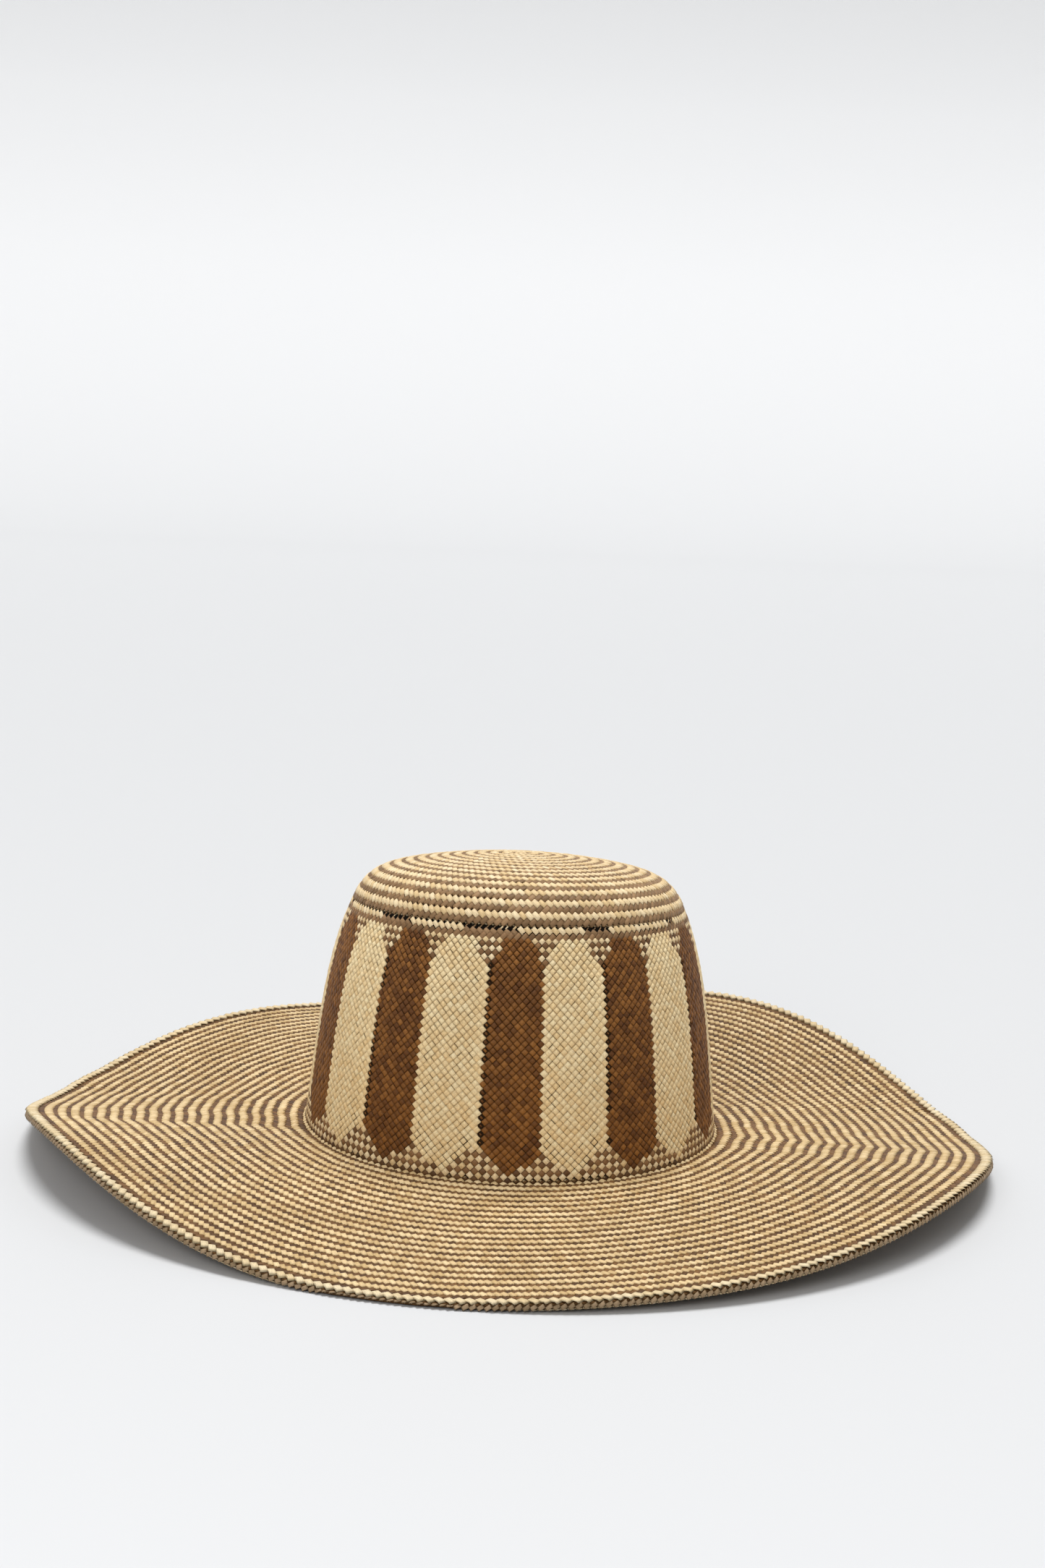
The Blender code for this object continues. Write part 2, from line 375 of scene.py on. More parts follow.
def plaiting_tree():
    """Geometry nodes that lay one strip float at every crossing."""
    tree = bpy.data.node_groups.new("lay_floats", "GeometryNodeTree")
    face = tree.interface
    face.new_socket("Crossings", in_out="INPUT", socket_type="NodeSocketGeometry")
    face.new_socket("Float", in_out="INPUT", socket_type="NodeSocketObject")
    face.new_socket("Palm", in_out="INPUT", socket_type="NodeSocketMaterial")
    face.new_socket("Unevenness", in_out="INPUT", socket_type="NodeSocketFloat")
    face.new_socket("Size spread", in_out="INPUT", socket_type="NodeSocketFloat")
    face.new_socket("Plait", in_out="OUTPUT", socket_type="NodeSocketGeometry")
    start = tree.nodes.new("NodeGroupInput")
    given = {s.name: Wire(tree, s) for s in start.outputs if s.name}
    wires = Wire(tree)
    vector = {"data_type": "FLOAT_VECTOR"}
    named = "GeometryNodeInputNamedAttribute"
    turn = wires.node(named, vector, {"Name": "turn"})
    size = wires.node(named, vector, {"Name": "size"})
    turned = wires.node("FunctionNodeEulerToRotation", None, {0: turn})
    around = wires.node(
        "FunctionNodeRandomValue",
        vector,
        {0: (-1, -1, -0.4), 1: (1, 1, 0.4), "Seed": 7},
    )
    spread = wires.node(
        "FunctionNodeRandomValue",
        vector,
        {0: (-1, -1, -1), 1: (1, 1, 1), "Seed": 11},
    )
    scaled = {"operation": "SCALE"}
    vmath = "ShaderNodeVectorMath"
    offset = wires.node(vmath, scaled, {0: around, "Scale": given["Unevenness"]})
    spread = wires.node(vmath, scaled, {0: spread, "Scale": given["Size spread"]})
    factor = wires.node(vmath, {"operation": "ADD"}, {0: spread, 1: (1, 1, 1)})
    size = wires.node(vmath, {"operation": "MULTIPLY"}, {0: size, 1: factor})
    moved = wires.node(
        "GeometryNodeSetPosition",
        None,
        {"Geometry": given["Crossings"], "Offset": offset},
    )
    strip = wires.node(
        "GeometryNodeObjectInfo", None, {"Object": given["Float"]}, output="Geometry"
    )
    laid = wires.node(
        "GeometryNodeInstanceOnPoints",
        None,
        {"Points": moved, "Instance": strip, "Rotation": turned, "Scale": size},
    )
    real = wires.node("GeometryNodeRealizeInstances", None, {"Geometry": laid})
    done = wires.node(
        "GeometryNodeSetMaterial", None, {"Geometry": real, "Material": given["Palm"]}
    )
    end = tree.nodes.new("NodeGroupOutput")
    tree.links.new(done.socket, end.inputs["Plait"])
    return tree


lay_floats = plaiting_tree()


def lay(name, rows, strip, material, unevenness=0.00008, spread=0.06):
    """Turns rows of crossings into one plain mesh of strip floats."""
    rows = {key: np.concatenate([row[key] for row in rows]) for key in rows[0]}
    mesh = bpy.data.meshes.new(name)
    mesh.vertices.add(len(rows["tone"]))
    mesh.vertices.foreach_set("co", rows["place"].astype(np.float32).ravel())
    for key in ("turn", "size"):
        attribute = mesh.attributes.new(key, "FLOAT_VECTOR", "POINT")
        attribute.data.foreach_set("vector", rows[key].astype(np.float32).ravel())
    for key in ("dye", "tone"):
        attribute = mesh.attributes.new(key, "FLOAT", "POINT")
        attribute.data.foreach_set("value", rows[key].astype(np.float32))
    owner = mesh.attributes.new("owner", "INT", "POINT")
    owner.data.foreach_set("value", np.arange(len(rows["tone"]), dtype=np.int32))
    crossings = bpy.data.objects.new(name, mesh)
    bpy.context.scene.collection.objects.link(crossings)
    modifier = crossings.modifiers.new("plaiting", "NODES")
    values = {"Float": strip, "Palm": material}
    values |= {"Unevenness": unevenness, "Size spread": spread}
    modifier.node_group = lay_floats
    for socket in lay_floats.interface.items_tree:
        if socket.name in values:
            modifier[socket.identifier] = values[socket.name]
    graph = bpy.context.evaluated_depsgraph_get()
    laid = bpy.data.meshes.new_from_object(crossings.evaluated_get(graph))
    bpy.data.objects.remove(crossings)
    for key in ("turn", "size"):
        if key in laid.attributes:
            laid.attributes.remove(laid.attributes[key])
    return laid


def core_of(node, middle):
    """The shaded middle of the plait: the solid of that node, drawn in a little."""
    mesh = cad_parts[node].data.copy()
    mesh.materials.clear()
    mesh.materials.append(middle)
    form = bmesh.new()
    form.from_mesh(mesh)
    bmesh.ops.remove_doubles(form, verts=form.verts, dist=1e-5)
    form.normal_update()
    moves = [vertex.normal * CORE_INSET for vertex in form.verts]
    for vertex, move in zip(form.verts, moves):
        vertex.co -= move
    form.to_mesh(mesh)
    form.free()
    mesh.shade_flat()
    layer = mesh.uv_layers.new(name="weave")
    for loop in mesh.loops:
        x, y, _ = mesh.vertices[loop.vertex_index].co
        layer.data[loop.index].uv = (x * 2 + 0.5, y * 2 + 0.5)
    return mesh


def joined(name, meshes):
    """One object from plain meshes, with their materials and attributes."""
    parts = [bpy.data.objects.new(name, mesh) for mesh in meshes]
    for part in parts:
        bpy.context.scene.collection.objects.link(part)
    with bpy.context.temp_override(
        active_object=parts[0], selected_editable_objects=parts
    ):
        bpy.ops.object.join()
    parts[0].name = parts[0].data.name = name
    return parts[0]


def give_each_float_a_patch(mesh):
    """A second UV map, OFBake, with a square of its own for each strip float, so that
    no float's colour runs into the next."""
    corners = np.empty(len(mesh.loops) * 2, np.float32)
    mesh.uv_layers["weave"].data.foreach_get("uv", corners)
    corners = np.clip(corners.reshape(-1, 2), 0, 1)
    points = np.empty(len(mesh.loops), np.int32)
    mesh.loops.foreach_get("vertex_index", points)
    owners = np.empty(len(mesh.vertices), np.int32)
    mesh.attributes["owner"].data.foreach_get("value", owners)
    patch = owners[points]
    across = math.ceil(math.sqrt(owners.max() + 1))
    cell = np.stack([patch % across, patch // across], axis=-1)
    margin = 0.12
    spots = (cell + margin + (1 - 2 * margin) * corners) / across
    layer = mesh.uv_layers.new(name="OFBake")
    layer.data.foreach_set("uv", spots.astype(np.float32).ravel())
    mesh.uv_layers["weave"].active_render = True
    mesh.attributes.remove(mesh.attributes["owner"])


def number_floats(meshes):
    """Numbers the floats of all the meshes in one run, and each core as one."""
    first = 0
    for mesh in meshes:
        owners = np.zeros(len(mesh.vertices), np.int32)
        if "owner" in mesh.attributes:
            mesh.attributes["owner"].data.foreach_get("value", owners)
        else:
            mesh.attributes.new("owner", "INT", "POINT")
        owners += first
        first = int(owners.max()) + 1
        mesh.attributes["owner"].data.foreach_set("value", owners)


def plaited(node, outer, inner, material, strip=long_float, middle=shade):
    """The visible piece of one CAD node: floats on both faces of a shaded core."""
    meshes = [lay("outer_face", outer, strip, material)]
    if inner:
        meshes.append(lay("inner_face", inner, inner_float, material))
    meshes.append(core_of(node, middle))
    number_floats(meshes)
    piece = joined(node + "_plait", meshes)
    give_each_float_a_patch(piece.data)
    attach(piece, "root")
    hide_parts(node)
    return piece


UNDER_STITCH = {"under": True, "reach": 1.0, "fill": 0.95}


def dome_rows(first, last):
    """Rows of the crown's top between two distances from the ring."""
    brown = {"dye": 0.9, "thick": BROWN_FLOAT, "fill": 1.25, "reach": 1.2}
    pale = {"dye": 0, "thick": PALE_FLOAT, "fill": 1.3, "reach": 1.2}
    outer, inner = [], []
    for pair in range(RING_PAIRS):
        middle = float(np.interp((pair + 0.5) * RING_PAIR, DOME_ARCS, DOME_RADII))
        count = min(COLUMNS, max(5, round(2 * math.pi * middle / DOME_COLUMN)))
        for half, how, lean, below in ((0.25, brown, 1, 0), (0.75, pale, -1, 1)):
            along = (pair + half) * RING_PAIR
            if not first <= along < last:
                continue
            radius = float(np.interp(along, DOME_ARCS, DOME_RADII))
            azimuth = columns(count, half)
            step = (math.pi * radius / count, RING_PAIR / 4)
            outer.append(stitches(dome, along, azimuth, lean, step, **how))
            inner.append(
                stitches(dome, along, azimuth, -lean, step, below, **UNDER_STITCH)
            )
    return outer, inner


tip_start = float(np.interp(-TIP_RADIUS, -DOME_RADII, DOME_ARCS))
outer, inner = dome_rows(tip_start, DOME_ARCS[-1])
plaited("crown_tip", outer, inner, crown_palm)

# ------------------------------------------------------------- crown shoulder
# The same over-two plait carried out and down over the block, from the tip to
# the ring where the striped wall begins. Each pair of rings is 5.5 mm deep.
outer, inner = dome_rows(0.0, tip_start)
plaited("crown_shoulder", outer, inner, crown_palm)

# ------------------------------------------- check bands and the twenty panels
# The wall is plaited over one and under one, 160 strips each way, so brown and
# bleached strips cross as checks. In ten brown and ten beige panels, pointed at
# both ends, both ways are of one colour. Strips that turn back leave small gaps.
PAIRS_OF_PANELS = 10
PANEL_TOP = 0.1025
PANEL_BOTTOM = 0.0042
TOP_APEX = 0.1085
TOP_POINT = 0.0193
BOTTOM_APEX = 0.0025
BOTTOM_POINT = 0.0132
FILLET = 0.002
FILLET_ARC = FILLET * math.pi / 2
WALL_LEVELS = 62
MIDDLE_HEIGHT = 0.05
SIDE_STITCHES = 1 - 1.4 / 9
HOLES_HEIGHT = 0.005
HOLES_FROM, HOLES_TO = 271, 300
SLIT_BOTTOM = 0.0993


def wall(along, azimuth):
    """The wall by its height, then the curve at its foot, where along goes on
    below the fillet as a distance."""
    turn = np.clip((FILLET - along) / FILLET_ARC, 0, 1) * math.pi / 2
    height = np.where(along < FILLET, FILLET * (1 - np.sin(turn)), along)
    radius = wall_radius(np.maximum(along, FILLET)) + FILLET * (1 - np.cos(turn))
    return stand(radius, height, azimuth)


def panels_from_front(azimuth):
    return (azimuth + math.pi / 2) * 2 * PAIRS_OF_PANELS / (2 * math.pi)


def panel_share(azimuth):
    """0 in the middle of a panel and 1 at its sides."""
    turn = panels_from_front(azimuth)
    return 2 * np.abs(turn - np.round(turn))


def panel_number(azimuth):
    """0 for the brown panel at the front, 1 for the beige one on its right."""
    turn = panels_from_front(azimuth)
    return np.round(turn).astype(int) % (2 * PAIRS_OF_PANELS)


crown_brown = palm(
    "crown_brown",
    (0.90, 0.68, 0.37),
    (0.72, 0.50, 0.24),
    (0.300, 0.120, 0.023),
    (0.130, 0.046, 0.008),
    0.6,
)
crown_beige = palm(
    "crown_beige",
    (0.99, 0.81, 0.49),
    (0.90, 0.66, 0.34),
    (0.30, 0.16, 0.07),
    (0.14, 0.065, 0.022),
    0.55,
)

homes = {}


def keep(home, side, row):
    """Sets a row aside for one piece: side 0 is its outer face, 1 its inner."""
    if len(row["tone"]):
        homes.setdefault(home, ([], []))[side].append(row)


def sort_into_panels(row_of, azimuth, height, base_dye, side):
    """Lays one level of the wall, each stitch in its own panel or check band. A
    stitch right on a side goes to the beige panel."""
    beige_is_next = panel_number(azimuth + 0.01) % 2 == 1
    nudged = azimuth + math.radians(0.3) * np.where(beige_is_next, 1, -1)
    number = panel_number(nudged)
    part = panel_share(nudged)
    top = np.minimum(PANEL_TOP, TOP_APEX - TOP_POINT * part)
    bottom = np.maximum(PANEL_BOTTOM, BOTTOM_APEX + BOTTOM_POINT * part)
    inside = (height < top) & (height > bottom)
    for panel in range(2 * PAIRS_OF_PANELS):
        chosen = inside & (number == panel)
        kind = "brown" if panel % 2 == 0 else "beige"
        dye = 1 - panel % 2
        home = f"{kind}_panel_{panel // 2 + 1:02d}"
        by_side = part[chosen] > SIDE_STITCHES
        squeeze = np.ones(len(by_side))
        if dye == 1 and side == 0:
            torn = by_side & (draw.random(len(squeeze)) < 0.8)
            squeeze = np.where(torn, draw.uniform(0.15, 0.6, len(squeeze)), 1.0)
        elif side == 0:
            squeeze = np.where(by_side, 1.13, 1.0)
        keep(home, side, row_of(azimuth[chosen], dye, squeeze=squeeze))
    above = ~inside & (height >= MIDDLE_HEIGHT)
    keep("upper_check_band", side, row_of(azimuth[above], base_dye))
    below = ~inside & (height < MIDDLE_HEIGHT)
    lower_home = "lower_check_band" if height > FILLET else "brim_foot"
    keep(lower_home, side, row_of(azimuth[below], base_dye))


# The levels grow a little towards the foot, where the wall is wider.
depths = np.linspace(3.26, 3.66, WALL_LEVELS)
depths *= (RING_HEIGHT + FILLET_ARC - FILLET) / depths.sum()
for level in range(WALL_LEVELS):
    along = RING_HEIGHT - depths[:level].sum() - depths[level] / 2
    dye, lean, phase = (1, 1, 0.0) if level % 2 == 0 else (0, -1, 0.5)
    azimuth = columns(COLUMNS, phase)
    radius = float(wall_radius(max(along, 0)))
    step = (math.pi * radius / COLUMNS, float(depths[level]))
    if along > SLIT_BOTTOM:
        continue

    def row_of(azimuths, colour, under=False, along=along, lean=lean, step=step, **how):
        how |= {"crossings": 1, "reach": 1.42, "fill": 1.07, "under": under}
        if under:
            lean = -lean
        elif along < HOLES_HEIGHT and colour == 1:
            turned = np.degrees(azimuths) % 360
            chance = np.where((turned > HOLES_FROM) & (turned < HOLES_TO), 0.75, 0.06)
            how["squeeze"] = np.where(draw.random(len(azimuths)) < chance, 0.3, 1.0)
        return stitches(wall, along, azimuths, lean, step, colour, **how)

    sort_into_panels(row_of, azimuth, along, dye, 0)

    def inner_row_of(azimuths, colour, row_of=row_of, **how):
        return row_of(azimuths, colour, under=True, **how)

    sort_into_panels(inner_row_of, azimuth, along, 1 - dye, 1)

# Long pale floats close the wall's top edge. Over each brown panel's left side
# they stop, and the strips turn back there and leave a short row of slits.
ring_columns = columns(COLUMNS, 0.5)
ring_run = math.pi * RING_RADIUS / COLUMNS
slit_half = draw.uniform(0.16, 0.42, PAIRS_OF_PANELS)
slit_half[0] = 0.48
from_slit = (ring_columns + math.pi / 2) * PAIRS_OF_PANELS / (2 * math.pi) + 0.25
nearest_slit = np.round(from_slit).astype(int)
slitted = 2 * np.abs(from_slit - nearest_slit) < slit_half[nearest_slit % PAIRS_OF_PANELS]
closed, opened = ring_columns[~slitted], ring_columns[slitted]
long_step = (ring_run, 0.0016)
pale_row = stitches(wall, 0.1030, closed, -1, long_step, 0, fill=1.1, reach=1.15)
keep("upper_check_band", 0, pale_row)
sill_row = stitches(wall, 0.1021, opened, -1, (ring_run, 0.0011), 0.9, fill=1.25)
keep("upper_check_band", 0, sill_row)
torn = opened + draw.uniform(-0.006, 0.006, len(opened))
torn_dye = np.where(draw.random(len(torn)) < 0.2, 0.2, 0.9)
torn_size = {"squeeze": draw.uniform(0.2, 0.6, len(torn)), "thick": 0.0006}
steep_step = (ring_run * 0.8, 0.0013)
keep(
    "upper_check_band",
    0,
    stitches(wall, 0.1037, torn, 1, steep_step, torn_dye, **torn_size),
)
for side, dye in ((0, 0.95), (1, 0.1)):
    how = {"fill": 1.05, "under": side == 1}
    row = stitches(wall, 0.1005, columns(COLUMNS, 0.0), 1, long_step, dye, **how)
    keep("upper_check_band", side, row)

for home in sorted(h for h in homes if h != "brim_foot"):
    outer, inner = homes[home]
    if home.endswith("band"):
        # The upper band's core is black painted shade, seen through the slits.
        middle = slit_shade if home.startswith("upper") else shade
        plaited(home, outer, inner, crown_palm, short_float, middle)
    elif home.startswith("brown"):
        plaited(home, outer, inner, crown_brown, short_float)
    else:
        plaited(home, outer, inner, crown_beige, short_float)

# ----------------------------------------------------- brim, in its three zones
# The strips go on outwards over two and under two in 21 pairs of rings, with new
# strips laid in as it widens. It was shaped by hand, so it waves gently: a wave
# here is its number of lobes, its lift in degrees and where it is highest.
BRIM_START = wall_radius(FILLET) + FILLET
BRIM_LENGTH = 0.1237
BRIM_WAVES = (
    (1, 0.85, 76.0),
    (2, 1.58, 39.3),
    (3, 3.41, 80.4),
    (4, 1.96, 45.8),
    (5, 2.25, 57.2),
)
REST_HEIGHT = 0.0019
BRIM_PAIRS = 21
BRIM_PAIR = BRIM_LENGTH / BRIM_PAIRS
BRIM_COLUMN = 0.0029
HEM_OVERLAP = 0.0027
KINKS_END = 0.1215
KINK_WIDTH = math.radians(4.2)
KINKS = [
    (math.radians(centre + draw.uniform(-5, 5)), draw.uniform(0.4, 1.0) * size)
    for centre, size in (
        (-8, 1.9), (6, -1.2), (21, 1.6), (34, -0.8), (52, 0.8), (75, 0.5),
        (104, 0.6), (128, 0.8), (147, 1.1), (160, -1.3), (173, 2.0), (186, -1.4),
        (197, 1.9), (211, -1.0), (226, 0.8), (248, 0.4), (283, 0.4), (318, 0.7),
        (334, -0.9), (345, 1.5),
    )
]


def brim_slope(azimuth):
    """The brim's slope up from level, never so low that its edge is in the table."""
    slope = sum(
        lift * np.cos(lobes * (azimuth - math.radians(crest)))
        for lobes, lift, crest in BRIM_WAVES
    )
    lowest = math.asin((REST_HEIGHT - FOOT_HEIGHT) / BRIM_LENGTH)
    return np.maximum(np.radians(slope), lowest)


def brim(along, azimuth):
    slope = brim_slope(azimuth)
    return stand(BRIM_START + along * np.cos(slope), along * np.sin(slope), azimuth)


def kinked(along, azimuth):
    """The rings bend in and out, by millimetres, where strips were laid in."""
    shift = np.zeros_like(azimuth)
    for centre, size in KINKS:
        away = np.abs((azimuth - centre + math.pi) % (2 * math.pi) - math.pi)
        shift += size * 0.001 * np.maximum(0.0, 1 - away / KINK_WIDTH)
    from_foot = np.clip(along / 0.012, 0, 1)
    to_edge = np.clip((KINKS_END - along) / 0.03, 0, 1)
    return along + shift * from_foot * to_edge


brim_palm = palm(
    "brim_palm",
    (0.82, 0.62, 0.345),
    (0.62, 0.43, 0.20),
    (0.20, 0.096, 0.030),
    (0.085, 0.036, 0.010),
)
BRIM_ZONES = {"brim_inner": 0.041, "brim_middle": 0.083, "brim_outer": BRIM_LENGTH}
brim_homes = {zone: ([], []) for zone in BRIM_ZONES}
brim_homes["brim_inner"] = homes["brim_foot"]
brown = {"dye": 1, "thick": 0.00075, "fill": 1.3, "reach": 1.25}
pale = {"dye": 0, "thick": 0.0011, "fill": 1.28, "reach": 1.2}
for pair in range(BRIM_PAIRS):
    radius = BRIM_START + (pair + 0.5) * BRIM_PAIR
    count = max(COLUMNS, round(2 * math.pi * radius / BRIM_COLUMN))
    step = (math.pi * radius / count, BRIM_PAIR / 4)
    for half, how, lean, below in ((0.25, brown, 1, 0), (0.75, pale, -1, 1)):
        along = (pair + half) * BRIM_PAIR
        if along > BRIM_LENGTH - HEM_OVERLAP:
            continue
        azimuth = columns(count, half + 0.37 * pair)
        places = kinked(np.full(count, along), azimuth)
        outer, inner = brim_homes[next(z for z in BRIM_ZONES if along <= BRIM_ZONES[z])]
        outer.append(stitches(brim, places, azimuth, lean, step, uphill=-1, **how))
        inner.append(
            stitches(brim, places, azimuth, -lean, step, below, uphill=-1, **UNDER_STITCH)
        )
for zone, (outer, inner) in brim_homes.items():
    plaited(zone, outer, inner, brim_palm, long_float, brim_shade)

# ------------------------------------------------------------------- brim edge
# The strips' ends are turned under into a hem. A thick pale row binds the fold,
# and five finer rows, brown and pale by turns, go on round it and underneath.
HEM_WIDTH = 0.008
HEM_LOWEST = 0.0016
HEM_SECTION = np.array(
    [
        (BRIM_LENGTH - 0.0022, 0.0004),
        (BRIM_LENGTH + 0.0004, 0.0006),
        (BRIM_LENGTH + 0.0020, 0.0000),
        (BRIM_LENGTH + 0.0024, -0.0012),
        (BRIM_LENGTH + 0.0012, -0.0022),
        (BRIM_LENGTH - 0.0020, -0.0023),
        (BRIM_LENGTH - HEM_WIDTH, -0.0022),
    ]
)
HEM_ARCS = np.append(0, np.cumsum(np.hypot(*np.diff(HEM_SECTION, axis=0).T)))


def hem(along, azimuth):
    """Round the edge's section, from its top, over the bead and back under."""
    slope = brim_slope(azimuth)
    reach = np.interp(along, HEM_ARCS, HEM_SECTION[:, 0])
    lift = np.interp(along, HEM_ARCS, HEM_SECTION[:, 1])
    radius = BRIM_START + reach * np.cos(slope) - lift * np.sin(slope)
    places = stand(radius, reach * np.sin(slope) + lift * np.cos(slope), azimuth)
    places[..., 2] = np.maximum(places[..., 2], HEM_LOWEST)
    return places


edge_palm = palm(
    "edge_palm",
    (0.80, 0.66, 0.43),
    (0.68, 0.52, 0.29),
    (0.24, 0.13, 0.06),
    (0.12, 0.06, 0.025),
)
EDGE_RADIUS = BRIM_START + BRIM_LENGTH
edge_how = {"uphill": -1, "reach": 1.15, "fill": 1.15, "crossings": 1.6}
edge_rows = []
for along, width, climb, lean, dye, thick in (
    (0.0020, 0.0042, 0.0026, -1, 0, 0.0010),
    (0.0052, 0.0030, 0.0011, 1, 0.75, 0.0005),
    (0.0072, 0.0030, 0.0012, -1, 0.1, 0.0005),
    (0.0092, 0.0034, 0.0013, 1, 0.9, 0.0004),
    (0.0112, 0.0034, 0.0013, -1, 0, 0.0004),
    (0.0132, 0.0034, 0.0013, 1, 0.9, 0.0004),
):
    count = round(2 * math.pi * EDGE_RADIUS / width)
    azimuth = columns(count, draw.random())
    step = (math.pi * EDGE_RADIUS / count, climb / 1.2)
    row = stitches(hem, along, azimuth, lean, step, dye, thick=thick, **edge_how)
    edge_rows.append(row)
plaited("brim_edge", edge_rows, [], edge_palm, long_float, brim_shade)

# ------------------------------------------------------------------- sweatband
# A grosgrain ribbon, ribbed across its width, sewn round the inside of the
# wall's foot. It was cut 25 mm wide and 575 mm long, and its ends just overlap.
RIBBON_WIDTH = 0.025
RIBBON_BOTTOM = 0.006
RIBBON_THICKNESS = 0.0007
RIBS = 640
RIB_DEPTH = 0.00012
GAP = 0.0003


def ribbon_radius(height, inset):
    """How far in the ribbon is, inset being the depth into its thickness."""
    return wall_radius(height) - THICKNESS / 2 - GAP - inset


def ribbon_mesh():
    count = RIBS * 2
    azimuth = np.arange(count) * 2 * math.pi / count
    ridge = np.where(np.arange(count) % 2 == 0, RIB_DEPTH, 0.0)
    levels = (0.0, 0.06, 0.5, 0.94, 1.0)
    loops = []
    for level in levels:
        height = RIBBON_BOTTOM + RIBBON_WIDTH * level
        rib = ridge if 0 < level < 1 else ridge * 0.3
        radius = ribbon_radius(height, RIBBON_THICKNESS - RIB_DEPTH) - rib
        loops.append(stand(radius, height, azimuth))
    for level in reversed(levels):
        height = RIBBON_BOTTOM + RIBBON_WIDTH * level
        loops.append(stand(ribbon_radius(height, 0.0), height, azimuth))
    points = np.concatenate(loops)
    faces = []
    for ring in range(len(loops)):
        after = (ring + 1) % len(loops)
        for i in range(count):
            j = (i + 1) % count
            faces.append(
                (after * count + i, after * count + j, ring * count + j, ring * count + i)
            )
    mesh = bpy.data.meshes.new("sweatband_ribbon")
    mesh.from_pydata([tuple(p) for p in points], [], faces)
    return mesh


ribbon_cloth, wires, shader = new_material("ribbon_cloth")
place = wires.node("ShaderNodeTexCoord", output="Object")
fine = {"Vector": place, "Scale": 900.0, "Detail": 2.0}
threads = wires.node("ShaderNodeTexNoise", None, fine)
tint = blend_colours(wires, threads, (0.50, 0.40, 0.27, 1), (0.72, 0.62, 0.46, 1))
wires.tree.links.new(tint.socket, shader.inputs["Base Color"])
knap = wires.node(
    "ShaderNodeBump", None, {"Strength": 0.4, "Distance": 0.0001, "Height": threads}
)
wires.tree.links.new(knap.socket, shader.inputs["Normal"])
shader.inputs["Roughness"].default_value = 0.8
ribbon = bpy.data.objects.new("sweatband_ribbon", ribbon_mesh())
bpy.context.scene.collection.objects.link(ribbon)
ribbon.data.materials.append(ribbon_cloth)
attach(ribbon, "root")
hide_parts("sweatband")

# ---------------------------------------------------------- sweatband's thread
# A running stitch of cream cotton holds the ribbon 3 mm above its lower edge,
# 4 mm to the stitch, each one pulled a little into the ribs.
THREAD_RISE = 0.003
THREAD_STITCHES = 140
THREAD_STITCH = (0.0013, 0.00024, 0.00024)


def thread_stitch():
    """One stitch: a thick middle whose ends go down through the ribbon."""
    mesh = bpy.data.meshes.new("thread_stitch")
    sides = 6
    down, shoulder, top = (0.35, -0.6), (0.9, 0.1), (1.0, 0.5)
    stations = ((-1, *down), (-0.8, *shoulder), (0, *top), (0.8, *shoulder), (1, *down))
    points, faces = [], []
    for x, size, dip in stations:
        for i in range(sides):
            turn = i * math.tau / sides
            points.append((x, size * math.cos(turn), dip + size * math.sin(turn)))
    for start in range(0, (len(stations) - 1) * sides, sides):
        for i in range(sides):
            j = (i + 1) % sides
            faces.append((start + i, start + sides + i, start + sides + j, start + j))
    faces.append(tuple(range(sides)))
    faces.append(tuple(reversed(range(len(points) - sides, len(points)))))
    mesh.from_pydata(points, [], [tuple(reversed(face)) for face in faces])
    mesh.shade_smooth()
    map_weave(mesh)
    return bpy.data.objects.new("thread_stitch", mesh)


def ribbon_face(along, azimuth):
    return stand(ribbon_radius(along, RIBBON_THICKNESS), along, azimuth)


cotton, wires, shader = new_material("cotton_thread")
weave = wires.node("ShaderNodeUVMap", {"uv_map": "weave"})
twist = wires.node(
    "ShaderNodeTexWave", {"bands_direction": "DIAGONAL"}, {"Vector": weave, "Scale": 3.0}
)
tint = blend_colours(wires, twist, (0.58, 0.50, 0.38, 1), (0.80, 0.74, 0.62, 1))
wires.tree.links.new(tint.socket, shader.inputs["Base Color"])
shader.inputs["Roughness"].default_value = 0.7
height = RIBBON_BOTTOM + THREAD_RISE
around = columns(THREAD_STITCHES, 0.0)
level_step = (0.0011, 0.00001)
seam = stitches(ribbon_face, height, around, 1, level_step, 0, under=True)
seam["size"] = np.tile(THREAD_STITCH, (THREAD_STITCHES, 1))
thread_mesh = lay("thread", [seam], thread_stitch(), cotton, 0.00004, 0.05)
thread = bpy.data.objects.new("sweatband_thread_stitches", thread_mesh)
bpy.context.scene.collection.objects.link(thread)
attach(thread, "root")
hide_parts("sweatband_thread")

# ------------------------------------------------------ floor, light and camera
# A seamless pale sweep under and behind the hat, lit by large soft sources; its bend and
# back wall also glow a little, as painted light.
SWEEP_FRONT = -14.0
SWEEP_BACK = 2.2
SWEEP_RADIUS = 1.6
SWEEP_TOP = 1.75
SWEEP_WIDTH = 14.0
BEND_STEPS = 16


def sweep_mesh():
    section = [(SWEEP_FRONT, 0.0), (SWEEP_BACK, 0.0)]
    for step in range(1, BEND_STEPS + 1):
        angle = math.radians(90 * step / BEND_STEPS)
        y = SWEEP_BACK + SWEEP_RADIUS * math.sin(angle)
        section.append((y, SWEEP_RADIUS * (1 - math.cos(angle))))
    section.append((SWEEP_BACK + SWEEP_RADIUS, SWEEP_TOP))
    points = [(x, y, z) for y, z in section for x in (-SWEEP_WIDTH, SWEEP_WIDTH)]
    faces = [(2 * i, 2 * i + 1, 2 * i + 3, 2 * i + 2) for i in range(len(section) - 1)]
    mesh = bpy.data.meshes.new("sweep")
    mesh.from_pydata(points, [], faces)
    mesh.shade_smooth()
    return mesh


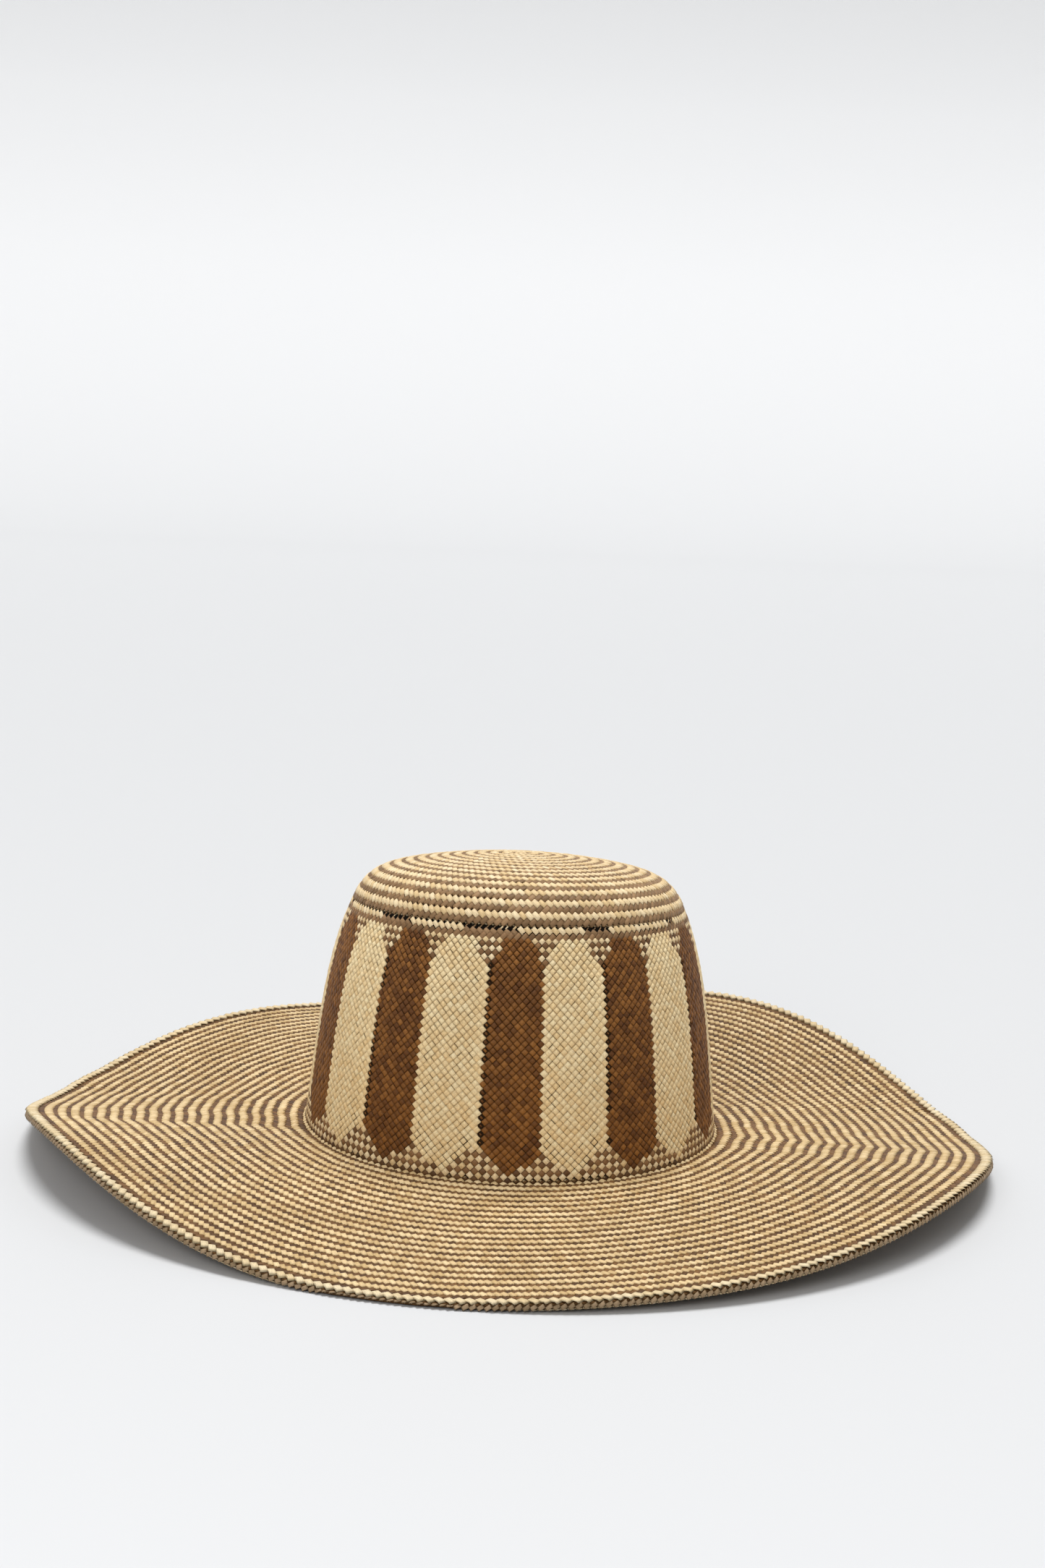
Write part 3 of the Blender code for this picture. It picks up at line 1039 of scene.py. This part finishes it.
paper, wires, shader = new_material("pale_paper")
shader.inputs["Base Color"].default_value = (0.655, 0.66, 0.668, 1)
shader.inputs["Roughness"].default_value = 0.6
shader.inputs["Specular IOR Level"].default_value = 0.2
# Painted light: the paper glows, from nothing at 2.3 m behind the hat to 0.26 at 3.4 m and
# beyond.
place = wires.node("ShaderNodeTexCoord", output="Object")
depth = wires.node("ShaderNodeSeparateXYZ", None, {0: place}, output="Y")
bend = {"From Min": 2.3, "From Max": 3.4, "To Min": 0.0, "To Max": 0.26}
painted_glow = wires.node("ShaderNodeMapRange", None, {"Value": depth} | bend)
painted_glow = wires.node("ShaderNodeCombineColor", None, {0: painted_glow, 1: painted_glow, 2: painted_glow})
wires.tree.links.new(painted_glow.socket, shader.inputs["Emission Color"])
shader.inputs["Emission Strength"].default_value = 1.0
sweep = bpy.data.objects.new("sweep", sweep_mesh())
sweep.data.materials.append(paper)
bpy.context.scene.collection.objects.link(sweep)


def soft_light(name, place, target, size, power):
    lamp = bpy.data.lights.new(name, "AREA")
    lamp.shape = "DISK"
    lamp.size = size
    lamp.energy = power
    holder = bpy.data.objects.new(name, lamp)
    holder.location = place
    aim = Vector(target) - Vector(place)
    holder.rotation_euler = aim.to_track_quat("-Z", "Y").to_euler()
    bpy.context.scene.collection.objects.link(holder)


overhead = bpy.data.lights.new("overhead", "SUN")
overhead.energy = 2.6
overhead.angle = math.radians(28)
overhead_holder = bpy.data.objects.new("overhead", overhead)
downward = Vector((-0.03, -0.20, -1.0))
overhead_holder.rotation_euler = downward.to_track_quat("-Z", "Y").to_euler()
bpy.context.scene.collection.objects.link(overhead_holder)
soft_light("front_fill", (-0.7, -1.9, 1.2), (0, 0, 0.08), 1.0, 12)
world = bpy.data.worlds.new("studio")
bpy.context.scene.world = world
world.use_nodes = True
background = world.node_tree.nodes["Background"]
background.inputs["Color"].default_value = (0.98, 0.99, 1, 1)
background.inputs["Strength"].default_value = 0.40
bpy.context.scene.view_settings.view_transform = "Standard"

PITCH = math.radians(10.9)
ROLL = math.radians(2.33)
lens = bpy.data.cameras.new("camera")
lens.lens = 73.0
lens.sensor_width = 36.0
camera = bpy.data.objects.new("camera", lens)
forward = Vector((0, math.cos(PITCH), -math.sin(PITCH)))
upward = Vector((0, math.sin(PITCH), math.cos(PITCH)))
right = Vector((1, 0, 0))
across = math.cos(ROLL) * right + math.sin(ROLL) * upward
above = -math.sin(ROLL) * right + math.cos(ROLL) * upward
pose = Matrix((across, above, -forward)).transposed().to_4x4()
pose.translation = (-0.0005, -1.4215, 0.445)
camera.matrix_world = pose
bpy.context.scene.collection.objects.link(camera)
bpy.context.scene.camera = camera
